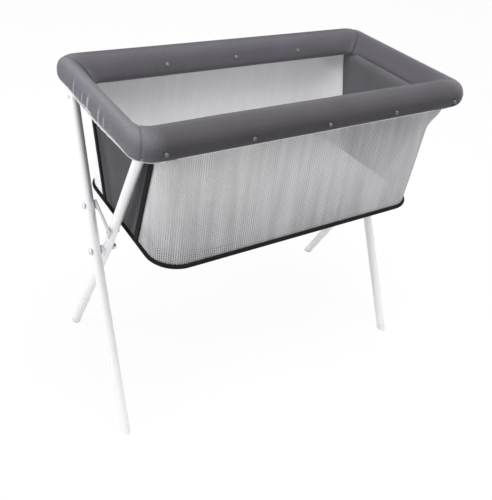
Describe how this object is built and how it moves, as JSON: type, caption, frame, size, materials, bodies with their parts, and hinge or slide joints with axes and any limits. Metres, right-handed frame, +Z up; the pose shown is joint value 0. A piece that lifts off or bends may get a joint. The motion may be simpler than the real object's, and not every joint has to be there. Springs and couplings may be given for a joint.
{
  "type": "bassinet on stand",
  "caption": "Folding baby bassinet: a mesh tub with a padded rim hung between two scissor frames of bent steel tube, with hooked straps, a thin mattress and a net cover.",
  "frame": {"origin": "on the floor, midway between the four feet, under the middle of the tub", "axes": "+X along the rails to the right as seen from the front, +Y to the back, +Z up"},
  "size_m": [0.8732, 0.4612, 0.7696],
  "materials": {
    "white_steel": "smooth white powder coat",
    "white_plastic": "matt moulded plastic",
    "zinc_steel": "plated steel",
    "grey_padding": "heather grey woven cover over padding",
    "grey_cloth": "dark grey woven cloth",
    "pale_mesh": "pale grey open mesh",
    "black_tape": "black binding tape",
    "mattress_cover": "pale grey mattress cover",
    "white_net": "sheer white net",
    "white_elastic": "white elastic edging"
  },
  "bodies": {
    "back_frame": {"back_rail": "white_steel", "back_frame_leg_left": "white_steel", "back_frame_leg_right": "white_steel", "back_frame_foot_left": "white_plastic", "back_frame_foot_right": "white_plastic", "back_frame_rivets": "zinc_steel", "pivot_bolts": "zinc_steel", "pivot_washers": "white_plastic", "pivot_nuts": "white_plastic", "strap_pin_left": "zinc_steel", "strap_stud_right": "zinc_steel", "rim_back": "grey_padding", "rim_left": "grey_padding", "rim_right": "grey_padding", "rim_snaps_back": "zinc_steel", "mesh_front": "pale_mesh", "mesh_back": "pale_mesh", "end_panel_left": "grey_cloth", "end_panel_right": "grey_cloth", "binding_left": "black_tape", "binding_right": "black_tape", "base_piping": "black_tape", "floor_panel": "black_tape", "mattress": "mattress_cover"},
    "front_frame": {"front_rail": "white_steel", "front_frame_leg_left": "white_steel", "front_frame_leg_right": "white_steel", "front_frame_foot_left": "white_plastic", "front_frame_foot_right": "white_plastic", "front_frame_rivets": "zinc_steel", "strap_pin_right": "zinc_steel", "strap_stud_left": "zinc_steel", "rim_front": "grey_padding", "rim_snaps_front": "zinc_steel"},
    "strap_left": {"strap_left": "white_steel"},
    "strap_right": {"strap_right": "white_steel"},
    "net": {"net_cover": "white_net", "net_hem": "white_elastic"}
  },
  "joints": [
    {"name": "frame_fold", "type": "hinge", "parent": "back_frame", "child": "front_frame", "pos_m": [0, 0, 0.378], "axis": [-1, 0, 0], "range_deg": [0, 38], "deforming": ["rim_front", "rim_back", "rim_left", "rim_right", "mesh_front", "mesh_back", "end_panel_left", "end_panel_right", "binding_left", "binding_right", "base_piping", "floor_panel", "mattress", "net_cover", "net_hem"]},
    {"name": "strap_left_swing", "type": "hinge", "parent": "back_frame", "child": "strap_left", "pos_m": [-0.3995, 0.04322, 0.47369], "axis": [-1, 0, 0], "range_deg": [0, 35]},
    {"name": "strap_right_swing", "type": "hinge", "parent": "front_frame", "child": "strap_right", "pos_m": [0.3995, -0.04322, 0.47369], "axis": [1, 0, 0], "range_deg": [0, 35]},
    {"name": "net_lift", "type": "slide", "parent": "back_frame", "child": "net", "axis": [0, 0, 1], "range_m": [0, 0.3]}
  ]
}
